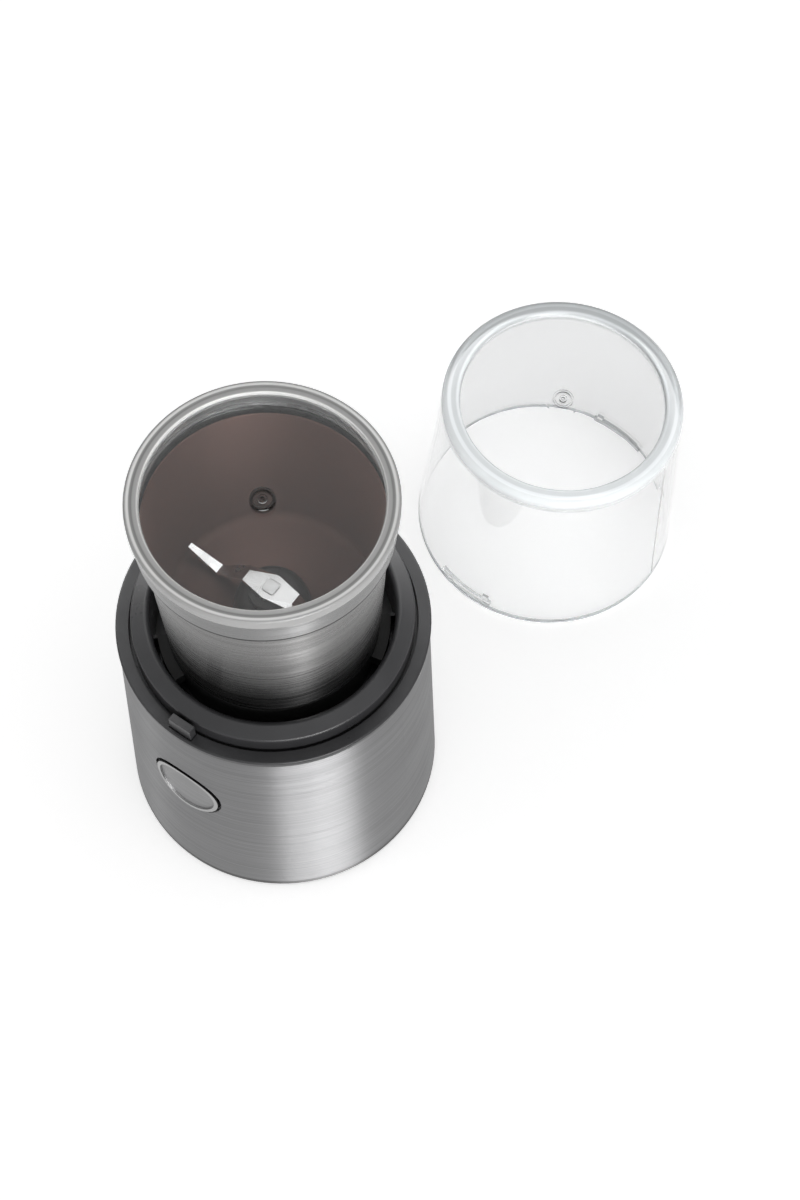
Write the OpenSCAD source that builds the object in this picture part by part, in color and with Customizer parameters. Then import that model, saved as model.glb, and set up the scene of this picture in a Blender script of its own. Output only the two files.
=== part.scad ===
// Electric spice grinder: a steel-clad motor base with a black collar, a lift-out steel cup
// with a clear cap, and a clear outer lid that stands beside the base.
// Millimetres, +Z up. The origin is on the table under the base's axis; the button faces -Y.

/* [Base shell] */
// Diameter of the steel shell at its lower edge
shell_foot_d = 119.8; // [118:0.2:124]
// How far the collar's rim stands out over the shell's upper edge
rim_overhang = 0.6; // [0.3:0.1:1]
// Height of the shell from its lower to its upper edge
shell_h = 109.7; // [107:0.1:118]
// Thickness of the shell's sheet
shell_wall = 0.8; // [0.5:0.1:1]

/* [Collar] */
// Diameter of the collar's rim, which overhangs the shell
collar_d = 110; // [109.6:0.2:112]
// Height of the collar's ledge above the shell
collar_rim_h = 2.3; // [1.6:0.1:3.5]
// Width of the ledge between the rim and the groove
ledge_w = 4.6; // [4.4:0.1:5]
// Height of the ridge's outer edge above the ledge
ridge_h = 6.2; // [4.5:0.1:8]
// Further rise of the ridge's top towards the well
ridge_rise = 1.8; // [1:0.1:2.5]
// Width of the ridge between the groove and the well
ridge_w = 6.8; // [6.4:0.1:7]
// Depth of the well below the ledge
well_depth = 12.5; // [11:0.5:14]
// Wall of the collar's moulding
collar_wall = 2.2; // [1.8:0.1:2.4]
// Width of the groove at the ridge's foot
groove_w = 1.2; // [0.8:0.1:1.4]
// Depth of that groove
groove_depth = 3; // [1.5:0.1:3.2]

/* [Bottom cover] */
// How far the rubber feet stand proud of the cover
foot_proud = 0.6; // [0.4:0.1:2]
// Diameter of a rubber foot
foot_d = 14; // [10:0.5:16]
// Thickness of the cover's floor
cover_t = 2.2; // [1.8:0.1:3]
// Thickness of the cover's edge under the shell
cover_edge_t = 0.9; // [0.6:0.1:1.6]

/* [Button] */
// Diameter of the round steel button
button_d = 27.2; // [24:0.2:28]
// Depth of the button's centre below the collar's ledge
button_drop = 44.3; // [44.2:0.1:60]
// Gap between the button and the shell's hole
button_gap = 1; // [0.5:0.1:1.4]
// How far the button stands proud of the shell
button_proud = 0.5; // [0.2:0.1:1.2]
// Travel of the button
button_travel = 2.5; // [1:0.1:3]

/* [Lid interlock] */
// Width of the interlock's plunger
plunger_w = 8.8; // [6:0.2:10]
// Thickness of the plunger
plunger_t = 2.7; // [2:0.1:2.9]
// Travel of the plunger
plunger_travel = 6; // [4:0.1:6.2]

/* [Cup] */
// Diameter of the steel cup at its lower edge
cup_foot_d = 74.8; // [74:0.2:76]
// Diameter of the cup under its band
cup_neck_d = 79.6; // [79:0.2:80.6]
// Height of the cup's side up to its band
cup_side_h = 63.3; // [58:0.1:74]
// Diameter of the cup's band
band_d = 84.2; // [83.6:0.2:84.8]
// Height of the cup's band
band_h = 11.3; // [8:0.1:12]
// Thickness of the cup's sheet
cup_wall = 0.8; // [0.5:0.1:1]
// Height of the black base under the cup
cup_base_h = 18; // [17.5:0.1:20]

/* [Cap] */
// Diameter of the clear cap on the cup
cap_d = 86.2; // [85.6:0.2:88]
// Height of the cap's rim above the band
cap_rim_h = 3.9; // [3.4:0.1:6]
// Width of the cap's raised rim
cap_rim_w = 4.5; // [4:0.1:5.5]
// Thickness of the cap's plate
cap_plate_t = 1.8; // [1.4:0.1:2.4]
// Depth of the cap's spigot inside the band
cap_spigot_h = 5.5; // [3:0.1:6]

/* [Blade] */
// Span of the blade from tip to tip
blade_span = 70; // [60:0.5:71]
// Thickness of the blade
blade_t = 1.5; // [1:0.1:1.8]
// Width of the blade at its middle
blade_mid_w = 10; // [8:0.1:12]
// Distance of the first fold from the axis
blade_fold_r = 9.6; // [8.6:0.1:11]
// Distance of the second fold from the axis
blade_low_r = 22.4; // [20:0.1:25]
// Fall of the wing between the folds
blade_fall = 11.5; // [9:0.1:12]
// Rise of the tip above the second fold
blade_rise = 4.1; // [2:0.1:8]
// Diameter of the blade's shaft
blade_shaft_d = 7; // [6:0.1:7.4]

/* [Lid] */
// Diameter of the lid at its mouth
lid_foot_d = 107.4; // [106.6:0.2:109]
// Diameter of the lid at its top
lid_top_d = 94; // [93:0.2:96]
// Height of the lid's rim
lid_h = 87.5; // [82:0.5:100]
// Thickness of the lid's wall
lid_wall = 2.2; // [1.6:0.1:2.6]
// Width of the rim round the lid's top plate
lid_rim_w = 7; // [5.5:0.1:8]
// Distance of the lid's axis from the base's axis
lid_reach = 152; // [125:1:200]
// Direction of the lid from the base
lid_bearing = 79.5; // [60:0.5:120]

/* [Motor] */
// Width of the stator's laminations
stator_w = 62; // [60:0.5:63]
// Depth of the laminations from front to back
stator_depth = 50; // [49:0.5:52]
// Clear height between the fan and the cover's floor
fan_clearance = 12.5; // [6:0.1:16]
// Diameter of the armature
armature_d = 33.6; // [32:0.2:34]
// Air gap round the armature
air_gap = 0.5; // [0.3:0.05:0.8]
// Diameter of the motor's shaft
motor_shaft_d = 8; // [6:0.1:8.4]
// Diameter of the cooling fan
fan_d = 56; // [44:1:58]
// Diameter of the commutator
commutator_d = 20; // [18:0.5:21]

/* [Cord inlet] */
// Diameter of the bore for the cord
cord_bore_d = 7.2; // [6:0.1:8]
// Height of the inlet above the table
cord_z = 16; // [13:0.5:24]

/* [Hidden] */

$fn = 128;
over = 2;
slide_gap = 0.3;
press_gap = 0.02;
run_gap = 0.05;
seat_gap = 0.1;

// Heights of the base
shell_z = foot_proud + cover_edge_t;
shell_top_z = shell_z + shell_h;
ledge_z = shell_top_z + collar_rim_h;
well_z = ledge_z - well_depth;
well_under_z = well_z - collar_wall;
ridge_z = ledge_z + ridge_h;
ridge_top_z = ridge_z + ridge_rise;
groove_z = ledge_z - groove_depth;
ledge_under_z = groove_z - collar_wall;

// Radii of the base
shell_foot_r = shell_foot_d / 2;
collar_r = collar_d / 2;
shell_top_r = collar_r - rim_overhang;
function shell_r(z) = shell_foot_r + (shell_top_r - shell_foot_r) * (z - shell_z) / shell_h;
groove_r = collar_r - ledge_w;
ridge_r = groove_r - groove_w;
well_r = ridge_r - ridge_w;
spigot_r = shell_top_r - shell_wall - slide_gap;
spigot_h = 6;
edge_round = 0.7;
ridge_round = 1;
well_round = 1.6;

// Posts, screws and feet between the collar and the bottom cover
post_count = 4;
post_r = 3.4;
post_circle_r = well_r + post_r + seat_gap;
post_angle = 45;
post_foot_z = 12;
cover_boss_r = 4.6;
cover_lip_r = shell_foot_r - shell_wall / 2;
cover_wall_t = 1.6;
cover_wall_h = 7;
cover_wall_r = shell_r(shell_z + cover_wall_h) - shell_wall - slide_gap;
foot_circle_r = 46;
foot_sink = 1;
screw_r = 1.45;
screw_hole_r = 1.7;
screw_head_r = 3;
screw_head_t = 1.8;
screw_bite = 12;
cover_screw_z = 6;
vent_count = 16;
vent_w = 2;
vent_len = 12;
vent_r = 24;

// Button, its guide and its switch; the button's axis runs along Y
button_z = ledge_z - button_drop;
button_r = button_d / 2;
button_skin = 1.2;
button_rim_w = 1.6;
button_dish = 0.6;
button_depth = 4;
button_plate_y = shell_r(button_z) - button_depth;
button_skirt_len = 6;
button_skirt_t = 1.6;
stem_r = 3;
guide_bore_r = button_r + slide_gap;
guide_t = 2.2;
guide_r = guide_bore_r + guide_t;
guide_floor_gap = 2;
guide_web_y = button_plate_y - button_skirt_len - button_travel - guide_floor_gap;
guide_web_t = 2;
carrier_y = 36;
carrier_t = 2.2;
carrier_w = 38;
carrier_margin = 1;
carrier_foot_z = button_z - guide_r - carrier_margin;
switch_w = 20;
switch_h = 10;
switch_depth = 6.5;
switch_nib_r = 1.5;
switch_nib_h = 1;
nib_sink = 0.5;
terminal_t = 0.8;
terminal_w = 3;
terminal_share = 0.35;
stem_gap = 1;
switch_y = guide_web_y - guide_web_t - seat_gap;
stem_y = switch_y + switch_nib_h + slide_gap + button_travel;

// Lid interlock: the plunger, its guide, spring and switch
plunger_y = spigot_r - seat_gap - plunger_t;
plunger_guide_h = 3.8;
plunger_guide_z = ledge_under_z - plunger_guide_h;
plunger_guide_t = 2.2;
plunger_foot_t = 3;
plunger_foot_z = plunger_guide_z - seat_gap - plunger_foot_t;
plunger_foot_w = 12.4;
plunger_arm_w = 8;
plunger_arm_d = 4;
plunger_foot_gap = 1;
plunger_foot_y = well_r + collar_wall + plunger_foot_gap;
shelf_drop = 7.5;
shelf_z = plunger_foot_z - plunger_travel - shelf_drop;
small_switch_w = 6.4;
small_switch_len = 11;
small_switch_h = 6.5;
small_nib_r = 0.8;
small_switch_gap = 2;
small_switch_x = plunger_foot_w / 2 + small_switch_gap;
spring_wire_r = 0.45;
spring_end_gap = 0.3;
button_spring_r = 6.5;
button_spring_turns = 5;
plunger_spring_r = 2.4;
plunger_spring_turns = 7;
plunger_spring_y = (plunger_foot_y + plunger_y + plunger_t) / 2;

// Bosses under the well that carry the motor and the switch carrier
boss_h = 4;
carrier_boss_r = 3.6;
carrier_boss_x = 11;
carrier_boss_y = 30;
carrier_flange_z = well_under_z - boss_h;
motor_x = 27;
motor_boss_r = 4.6;
damper_t = 4;
damper_r = 5.5;
damper_z = well_under_z - boss_h - damper_t;
screw_end_gap = 0.5;

// Motor, measured down from its upper bracket
bracket_t = 3;
bracket_w = 14;
bracket_z = damper_z - bracket_t;
bearing_r = 7;
bearing_h = 9;
bearing_hub_r = 10;
bearing_drop = 2.6;
lower_bearing_drop = 4.5;
motor_shaft_r = motor_shaft_d / 2;
end_turn_h = 7;
fan_h = 7;
fan_gap = 2;
fan_z = foot_proud + cover_t + fan_clearance;
lower_bearing_z = fan_z + fan_h + fan_gap;
lower_bracket_z = lower_bearing_z + lower_bearing_drop;
commutator_gap = 3.4;
commutator_h = 8.5;
commutator_z = lower_bearing_z + bearing_h + commutator_gap;
stack_z = commutator_z + commutator_h + end_turn_h;
stack_top_z = bracket_z - end_turn_h - bearing_drop;
stack_h = stack_top_z - stack_z;
bore_r = armature_d / 2 + air_gap;
armature_r = armature_d / 2;
pole_t = 1.6;
coil_in_r = bore_r + pole_t;
coil_end_gap = 1;
coil_out_r = 2 * motor_x - stator_w / 2 - slide_gap;
coil_inner_angle = 40;
coil_outer_angle = 60;
yoke_t = 3.5;
window_y = stator_depth / 2 - yoke_t;
pole_gap = 0.3;
commutator_r = commutator_d / 2;
motor_screw_r = 1.9;
motor_screw_gap = 0.2;
motor_head_r = 3.6;
motor_head_t = 2.4;
fan_blade_t = 1.2;
fan_lean_angle = 24;
shaft_proud = 1;
shaft_sink = 0.5;
fan_blades = 9;
fan_hub_r = 8;
fan_disc_t = 1.2;
brush_w = 6;
brush_len = 14;
holder_t = 1.2;
holder_len = 15;
holder_gap = 2;
brush_shift = 0.6;
brush_z = commutator_z + commutator_h / 2 - brush_shift;
arm_lap = 2;
slot_count = 12;
slot_w = 2.6;
slot_depth = 6;
winding_gap = 1.5;
winding_end_h = 5.6;
winding_lift = 0.2;
bar_count = 24;
bar_gap = 0.5;
bar_t = 0.8;
riser_h = 1.4;
riser_t = 1;

// Couplings between the motor and the blade
tooth_count = 6;
tooth_w = 2.8;
tooth_r = 8.5;
tooth_root_r = 6;
tooth_gap = 0.35;
tooth_h = 6.2;
slinger_r = 10;
slinger_t = 1.6;
slinger_gap = 0.6;
slinger_z = well_z + slinger_gap;
drive_top_z = slinger_z + slinger_t + tooth_h;
shaft_hole_r = 7;
drip_rim_r = 12;
drip_rim_t = 1.5;
drip_rim_h = 3.2;
driven_r = 11;
driven_z = slinger_z + slinger_t + tooth_gap;
driven_hub_z = drive_top_z + tooth_gap;
driven_web_t = 3.2;
driven_top_z = driven_hub_z + driven_web_t;

// Cup, its black base and its hub
cup_z = well_z + cup_base_h;
cup_foot_r = cup_foot_d / 2;
cup_neck_r = cup_neck_d / 2;
band_z = cup_z + cup_side_h;
band_top_z = band_z + band_h;
band_r = band_d / 2;
band_step = 0.4;
cup_skirt_h = 1.2;
cup_floor_z = cup_z + cup_skirt_h + cup_wall;
cup_corner_r = 3;
cup_hole_r = 7.5;
function cup_r(z) = cup_foot_r + (cup_neck_r - cup_foot_r) * (z - cup_z) / cup_side_h;
cup_base_wall = 2.2;
cup_base_step = 0.4;
cup_base_r = cup_foot_r - cup_base_step;
cup_web_t = 2.8;
cup_web_z = cup_floor_z - cup_wall - cup_web_t;
lug_angles = [25, 131, 237];
lug_half_angle = 13;
lug_h = 5;
lug_gap = 1.6;
lug_r = well_r - lug_gap;
lug_lift = 6;
lug_z = well_z + lug_lift;
rib_w = 1.2;
rib_t = 2.2;
rib_r = well_r - rib_t;
rib_angle = lug_half_angle + 2;
rib_h = 7.5;
hub_r = 13.6;
hub_shoulder_r = 8.8;
hub_h = 10.3;
hub_z = cup_floor_z;
bush_r = 6.5;
bush_gap = 0.6;
bush_z = driven_top_z + bush_gap;
bush_top_z = hub_z + hub_h - slide_gap;
bush_sleeve_t = 2.4;
bush_sleeve_r = bush_r + bush_sleeve_t;
cup_screw_circle_r = 11.4;
cup_screw_r = 1.2;
cup_screw_hole_r = 1.4;
cup_screw_head_r = 2.2;
cup_screw_count = 3;
cup_screw_len = 8.4;
blade_shaft_r = blade_shaft_d / 2;
seal_t = 1;
seal_r = bush_r - 2 * seat_gap;
spacer_z = bush_top_z + seal_t + seat_gap;
spacer_r = 7.8;

// Blade, measured from the top of its spacer
blade_lift = 13.8;
blade_z = cup_floor_z + blade_lift;
blade_tip_r = blade_span / 2;
fold_w = 6.6;
low_w = 3.8;
tip_w = 2;
bevel_w = 2.4;
bevel_depth_share = 0.7;
bevel_start_share = 0.1;
bevel_len_share = 1.05;
rivet_groove = 0.4;
square_w = 4.6;
square_round = 0.9;
square_proud = 0.2;

// Cap
cap_r = cap_d / 2;
cap_z = band_top_z;
cap_top_z = cap_z + cap_rim_h;
cap_rim_in_r = cap_r - cap_rim_w;
cap_plate_drop = 1.3;
cap_plate_z = cap_top_z - cap_plate_drop;
cap_spigot_t = 1.8;
cap_spigot_r = band_r - cup_wall - slide_gap;
cap_round = 0.8;
gate_r = 4;
gate_h = 1.6;
gate_wall = 0.8;
gate_floor_share = 0.4;
gate_pin_r = 1.5;
gate_dimple_r = 0.7;

// Lid
lid_foot_r = lid_foot_d / 2;
lid_top_r = lid_top_d / 2;
lid_round = 3;
lid_plate_drop = 2.4;
lid_plate_t = 2.4;
lid_dome = 2;
lid_tab_t = 1.5;
lid_tab_h = 2.6;
lid_tab_z = 1;
tab_spread_angle = 28;
lid_tab_angle = 82.8;
lid_stop_h = 3.3;
lid_stop_t = 1.9;
stop_spread_angle = 3;

// Cord inlet
gland_y = shell_r(cord_z);
gland_flange_r = 6.6;
gland_flange_t = 2;
gland_neck_r = 5;
gland_len = 9;
gland_bore_r = cord_bore_d / 2;
gland_grip = 1.4;
gland_lift = 0.5;
gland_round = 0.8;

// Circuit board on the bottom cover
board_w = 34;
board_t = 1.6;
board_h = 40;
board_y = 41;
board_slot_h = 5;
board_slot_w = 8;
cap_box_w = 18;
cap_box_t = 7;
cap_box_h = 13;
terminal_box_h = 11;
box_gap = 3;

black = [0.13, 0.13, 0.14];
steel = [0.74, 0.75, 0.76];
bright = [0.86, 0.87, 0.88];
iron = [0.45, 0.46, 0.48];
copper = [0.72, 0.42, 0.2];
clear = [0.88, 0.93, 0.96, 0.4];

// Turns a shape about the Z axis into a ring of equal copies
module ring(count, turn = 0) {
    for (i = [0 : count - 1]) rotate([0, 0, turn + i * 360 / count]) children();
}

// A straight cylinder that runs along -Y from the axis, from y1 out to y2
module front_rod(r, y1, y2, z) {
    translate([0, -y1, z]) rotate([90, 0, 0]) cylinder(h = y2 - y1, r = r);
}

// The solid inside the shell's cone, made larger or smaller all round
module shell_cone(grow) {
    translate([0, 0, shell_z])
        cylinder(h = shell_h, r1 = shell_foot_r + grow, r2 = shell_top_r + grow);
}

// Points of an arc about a centre, from one angle to another
function arc(c, r, a, b, steps = 8) =
    [for (i = [0 : steps]) c + r * [cos(a + (b - a) * i / steps), sin(a + (b - a) * i / steps)]];

// A sector of a flat ring, centred on the +X axis
module ring_sector(r_in, r_out, half_angle) {
    intersection() {
        difference() {
            circle(r = r_out);
            circle(r = r_in);
        }
        polygon([[0, 0], 2 * r_out * [cos(half_angle), -sin(half_angle)], [2 * r_out, 0],
                 2 * r_out * [cos(half_angle), sin(half_angle)]]);
    }
}

// A helical wire along +Z, with flat-lying end turns left out
module coil_spring(mean_r, wire_r, length, turns) {
    steps = 14;
    sides = 6;
    count = steps * turns;
    rise = (length - 2 * wire_r) / count;
    points = [for (i = [0 : count]) for (k = [0 : sides - 1])
        let (a = 360 * i / steps, b = 360 * k / sides, r = mean_r + wire_r * cos(b))
            [r * cos(a), r * sin(a), wire_r + rise * i + wire_r * sin(b)]];
    walls = [for (i = [0 : count - 1]) for (k = [0 : sides - 1])
        let (a = i * sides + k, b = i * sides + (k + 1) % sides)
            [a, a + sides, b + sides, b]];
    ends = [[for (k = [0 : sides - 1]) k], [for (k = [sides - 1 : -1 : 0]) count * sides + k]];
    polyhedron(points, concat(walls, ends));
}

// Conical brushed-steel sleeve with the button's hole in front and the cord's hole behind
module base_shell() {
    color(steel) difference() {
        rotate_extrude() polygon([[shell_foot_r - shell_wall, shell_z], [shell_foot_r, shell_z],
                                  [shell_top_r, shell_top_z], [shell_top_r - shell_wall, shell_top_z]]);
        front_rod(button_r + button_gap, shell_r(button_z) / 2, shell_foot_r + over, button_z);
        rotate([0, 0, 180]) front_rod(gland_neck_r + seat_gap, gland_y / 2, shell_foot_r + over, cord_z);
    }
}

// Moulded floor with an edge under the shell, a wall inside it and bosses for the screws
module bottom_cover() {
    color(black) difference() {
        union() {
            translate([0, 0, foot_proud]) cylinder(h = cover_edge_t, r = cover_lip_r);
            translate([0, 0, foot_proud]) cylinder(h = cover_t, r = cover_wall_r);
            difference() {
                translate([0, 0, foot_proud]) cylinder(h = cover_edge_t + cover_wall_h, r = cover_wall_r);
                translate([0, 0, foot_proud + cover_t / 2])
                    cylinder(h = cover_edge_t + cover_wall_h, r = cover_wall_r - cover_wall_t);
            }
            ring(post_count, post_angle) translate([post_circle_r, 0, foot_proud])
                cylinder(h = post_foot_z - foot_proud, r = cover_boss_r);
            for (side = [-1, 1])
                translate([side * (board_w / 2 - board_slot_w / 4) - board_slot_w / 2,
                           board_y - board_t, foot_proud])
                    cube([board_slot_w, 3 * board_t, cover_t + board_slot_h]);
        }
        ring(post_count, post_angle) translate([post_circle_r, 0, 0]) {
            cylinder(h = cover_screw_z, r = screw_head_r + seat_gap);
            cylinder(h = post_foot_z + over, r = screw_hole_r);
        }
        ring(post_count) translate([foot_circle_r, 0, 0])
            cylinder(h = foot_proud + foot_sink, r = foot_d / 2 + seat_gap);
        ring(vent_count, 180 / vent_count) translate([vent_r, -vent_w / 2, 0])
            cube([vent_len, vent_w, foot_proud + cover_t + over]);
        translate([-board_w / 2 - seat_gap, board_y - seat_gap, foot_proud + cover_t])
            cube([board_w + 2 * seat_gap, board_t + 2 * seat_gap, board_slot_h + over]);
    }
}

// Four round rubber feet let into the cover
module rubber_feet() {
    color([0.08, 0.08, 0.08]) ring(post_count) translate([foot_circle_r, 0, 0])
        rotate_extrude() polygon([[0, 0], [foot_d / 2 - foot_proud, 0], [foot_d / 2, foot_proud],
                                  [foot_d / 2, foot_proud + foot_sink], [0, foot_proud + foot_sink]]);
}

// A pan-head screw that points up, with its head's top face at z = 0
module screw(head_r, head_t, shank_r, length) {
    translate([0, 0, -head_t]) cylinder(h = head_t, r = head_r);
    cylinder(h = length, r = shank_r);
}

// Screws that draw the cover up against the collar's posts
module cover_screws() {
    color(iron) ring(post_count, post_angle) translate([post_circle_r, 0, cover_screw_z])
        screw(screw_head_r, screw_head_t, screw_r, post_foot_z - cover_screw_z + screw_bite);
}

// Section of the collar: well, hollow ridge, groove, ledge and the spigot inside the shell
function collar_section() = concat(
    [[shaft_hole_r, well_under_z], [well_r + collar_wall, well_under_z],
     [well_r + collar_wall, ridge_z - collar_wall], [ridge_r - collar_wall, ridge_z - collar_wall],
     [ridge_r - collar_wall, ledge_under_z], [spigot_r - collar_wall, ledge_under_z],
     [spigot_r - collar_wall, shell_top_z - spigot_h], [spigot_r, shell_top_z - spigot_h],
     [spigot_r, shell_top_z], [collar_r, shell_top_z]],
    arc([collar_r - edge_round, ledge_z - edge_round], edge_round, 0, 90),
    [[groove_r, ledge_z], [groove_r, groove_z], [ridge_r, groove_z]],
    arc([ridge_r - ridge_round, ridge_z - ridge_round], ridge_round, 0, 76),
    arc([well_r + well_round, ridge_top_z - well_round], well_round, 76, 180),
    [[well_r, well_z], [shaft_hole_r, well_z]]);

// Black collar: the well and its ribs, the ridge, the ledge, the posts and the bosses
module collar() {
    color(black) difference() {
        union() {
            rotate_extrude() polygon(collar_section());
            translate([0, 0, well_z - collar_wall / 2]) difference() {
                cylinder(h = drip_rim_h + collar_wall / 2, r = drip_rim_r + drip_rim_t);
                translate([0, 0, -over]) cylinder(h = drip_rim_h + collar_wall + over, r = drip_rim_r);
            }
            for (turn = lug_angles) for (side = [-1, 1]) rotate([0, 0, turn + side * rib_angle])
                translate([rib_r, -rib_w / 2, well_z - collar_wall / 2])
                    cube([rib_t + collar_wall / 2, rib_w, rib_h + collar_wall / 2]);
            ring(post_count, post_angle) translate([post_circle_r, 0, post_foot_z])
                cylinder(h = ledge_under_z - post_foot_z + collar_wall / 2, r = post_r);
            for (side = [-1, 1]) {
                translate([side * carrier_boss_x, -carrier_boss_y, carrier_flange_z])
                    cylinder(h = boss_h + collar_wall / 2, r = carrier_boss_r);
                translate([side * motor_x, 0, carrier_flange_z])
                    cylinder(h = boss_h + collar_wall / 2, r = motor_boss_r);
            }
            intersection() {
                translate([-plunger_w / 2 - plunger_guide_t, -spigot_r, plunger_guide_z])
                    cube([plunger_w + 2 * plunger_guide_t, spigot_r - plunger_y + plunger_guide_t,
                          plunger_guide_h + collar_wall / 2]);
                cylinder(h = ledge_z, r = spigot_r);
            }
        }
        ring(post_count, post_angle) translate([post_circle_r, 0, post_foot_z - over])
            cylinder(h = screw_bite + 2 * over, r = screw_r + press_gap);
        for (side = [-1, 1]) {
            translate([side * carrier_boss_x, -carrier_boss_y, carrier_flange_z - over])
                cylinder(h = boss_h + over, r = screw_r + press_gap);
            translate([side * motor_x, 0, carrier_flange_z - over])
                cylinder(h = boss_h + over, r = motor_screw_r + press_gap);
        }
        translate([-plunger_w / 2 - slide_gap, -spigot_r - slide_gap, plunger_guide_z - over])
            cube([plunger_w + 2 * slide_gap, spigot_r - plunger_y + 2 * slide_gap,
                  ledge_z + ridge_h - plunger_guide_z + over]);
    }
}

// Guide tube behind the button, cut to the inside of the shell
module button_guide() {
    color(black) intersection() {
        shell_cone(-shell_wall - seat_gap);
        difference() {
            front_rod(guide_r, carrier_y, shell_foot_r, button_z);
            front_rod(guide_bore_r, guide_web_y, shell_foot_r + over, button_z);
            front_rod(stem_r + stem_gap, carrier_y - over, shell_foot_r, button_z);
            front_rod(switch_w / 2 + guide_web_t, carrier_y - over, guide_web_y - guide_web_t, button_z);
        }
    }
}

// Upright bracket under the well: holds both switches, the guide and the plunger's spring
module switch_carrier() {
    color([0.85, 0.85, 0.82]) difference() {
        union() {
            translate([-carrier_w / 2, -carrier_y, carrier_foot_z])
                cube([carrier_w, carrier_t, carrier_flange_z - carrier_foot_z]);
            translate([-carrier_w / 2, -carrier_y, carrier_flange_z - carrier_t])
                cube([carrier_w, carrier_y - carrier_boss_y + carrier_boss_r + carrier_margin, carrier_t]);
            intersection() {
                translate([-plunger_foot_w / 2 - carrier_t, -spigot_r, shelf_z - carrier_t])
                    cube([plunger_foot_w + small_switch_w + 3 * carrier_t, spigot_r - carrier_y + carrier_t,
                          carrier_t]);
                cylinder(h = shelf_z, r = spigot_r);
            }
        }
        translate([-switch_w / 2 - seat_gap, -carrier_y - over, button_z - switch_h / 2 - seat_gap])
            cube([switch_w + 2 * seat_gap, carrier_t + 2 * over, switch_h + 2 * seat_gap]);
        for (side = [-1, 1])
            translate([side * carrier_boss_x, -carrier_boss_y, carrier_flange_z - 2 * over])
            cylinder(h = 3 * over, r = screw_hole_r);
    }
}

// Screws that hang the carrier from the well
module carrier_screws() {
    color(iron) for (side = [-1, 1])
        translate([side * carrier_boss_x, -carrier_boss_y, carrier_flange_z - carrier_t])
            screw(screw_head_r, screw_head_t, screw_r, carrier_t + boss_h - screw_end_gap);
}

// Snap switch behind the button, with its nib towards the stem
module button_switch() {
    color([0.16, 0.16, 0.18]) {
        translate([-switch_w / 2, -switch_y, button_z - switch_h / 2])
            cube([switch_w, switch_depth, switch_h]);
        front_rod(switch_nib_r, switch_y - nib_sink, switch_y + switch_nib_h, button_z);
        for (side = [-1, 0, 1])
            translate([side * terminal_share * switch_w, -switch_y + switch_depth - nib_sink,
                       button_z - terminal_w / 2])
                cube([terminal_t, terminal_w, terminal_w]);
    }
}

// Small snap switch on the carrier's shelf, under the plunger's arm
module interlock_switch() {
    color([0.16, 0.16, 0.18]) translate([small_switch_x, 0, shelf_z]) {
        translate([0, -plunger_foot_y - plunger_arm_d, 0])
            cube([small_switch_w, small_switch_len, small_switch_h]);
        translate([small_switch_w / 2, -plunger_foot_y - plunger_arm_d / 2, small_switch_h - nib_sink])
            cylinder(h = plunger_foot_z - plunger_travel - slide_gap - shelf_z - small_switch_h + nib_sink,
                     r = small_nib_r);
    }
}

// Return spring round the button's stem
module button_spring() {
    color(bright) translate([0, -guide_web_y - spring_end_gap, button_z]) rotate([90, 0, 0])
        coil_spring(button_spring_r, spring_wire_r,
                    button_plate_y - guide_web_y - 2 * spring_end_gap, button_spring_turns);
}

// Return spring under the interlock's plunger
module interlock_spring() {
    color(bright) translate([0, -plunger_spring_y, shelf_z + spring_end_gap])
        coil_spring(plunger_spring_r, spring_wire_r,
                    plunger_foot_z - shelf_z - 2 * spring_end_gap, plunger_spring_turns);
}

// Rubber grommet in the shell's back wall, with a flange on each side
module cord_gland() {
    color([0.1, 0.1, 0.1]) translate([0, gland_y, cord_z]) rotate([-90, 0, 0]) rotate_extrude()
        polygon([[gland_bore_r, gland_flange_t + gland_lift - gland_len],
                 [gland_flange_r, gland_flange_t + gland_lift - gland_len],
                 [gland_flange_r, -shell_wall - gland_grip],
                 [gland_neck_r, -shell_wall - gland_grip], [gland_neck_r, gland_lift],
                 [gland_flange_r, gland_lift], [gland_flange_r - gland_round, gland_flange_t + gland_lift],
                 [gland_bore_r, gland_flange_t + gland_lift]]);
}

// Upright board with the suppression capacitor and the cord's terminals
module circuit_board() {
    translate([0, board_y, foot_proud + cover_t]) {
        color([0.1, 0.35, 0.2]) translate([-board_w / 2, 0, 0]) cube([board_w, board_t, board_h]);
        color([0.75, 0.65, 0.2]) translate([-cap_box_w / 2, -cap_box_t, board_h - cap_box_h - box_gap])
            cube([cap_box_w, cap_box_t, cap_box_h]);
        color([0.2, 0.5, 0.3]) translate([-cap_box_w / 2, -cap_box_t, board_slot_h + box_gap])
            cube([cap_box_w, cap_box_t, terminal_box_h]);
    }
}

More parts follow.
